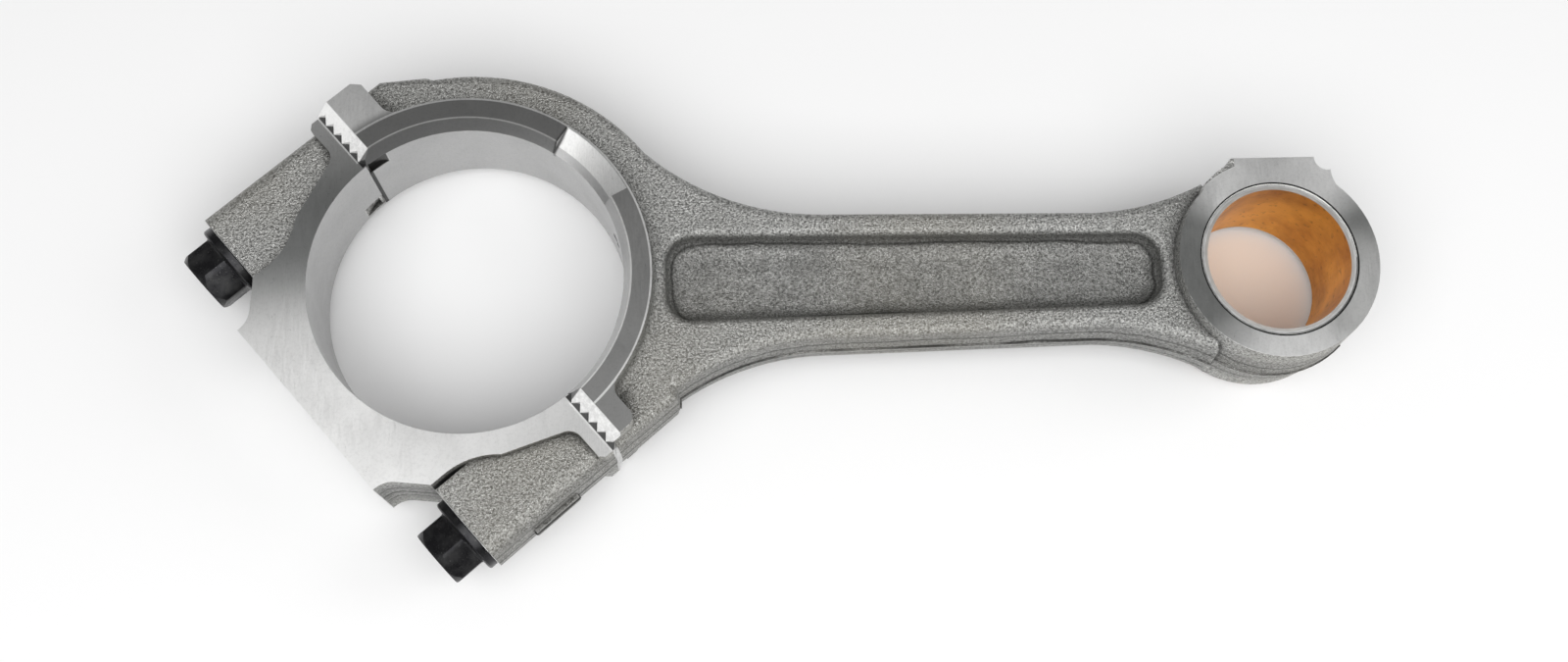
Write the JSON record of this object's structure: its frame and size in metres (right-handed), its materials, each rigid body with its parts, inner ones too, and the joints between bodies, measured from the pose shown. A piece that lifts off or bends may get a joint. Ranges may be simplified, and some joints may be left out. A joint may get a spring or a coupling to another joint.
{
  "type": "connecting rod",
  "caption": "Engine connecting rod with an I-section shank, bushed small end and an obliquely split, serrated big end whose bearing cap is held by flanged hexagon bolts.",
  "frame": {"origin": "axis of the big-end bore, on the rod's mid-plane", "axes": "+Z along the big-end bore axis (the small-end bore is parallel to it), +X from the big end to the small end, +Y to the side of the flat pad on the small end"},
  "size_m": [0.3804, 0.1631, 0.044],
  "materials": {
    "forged_steel": "shot-blasted forging, machined bright on the end faces, bores and joint",
    "machined_steel": "turned and ground steel",
    "bronze": "bored bronze bearing layer",
    "black_oxide_steel": "black oxide, slight sheen"
  },
  "bodies": {
    "rod": {"rod_body": "forged_steel", "bush_shell": "machined_steel", "bush_lining": "bronze"},
    "cap": {"bearing_cap": "forged_steel"},
    "upper_bolt": {"rod_bolt_upper": "black_oxide_steel"},
    "lower_bolt": {"rod_bolt_lower": "black_oxide_steel"}
  },
  "joints": [
    {"name": "cap_lift", "type": "slide", "parent": "rod", "child": "cap", "axis": [-0.766, -0.6428, 0], "range_m": [0, 0.06]},
    {"name": "upper_bolt_withdraw", "type": "slide", "parent": "cap", "child": "upper_bolt", "axis": [-0.766, -0.6428, 0], "range_m": [0, 0.08]},
    {"name": "lower_bolt_withdraw", "type": "slide", "parent": "cap", "child": "lower_bolt", "axis": [-0.766, -0.6428, 0], "range_m": [0, 0.08]}
  ]
}
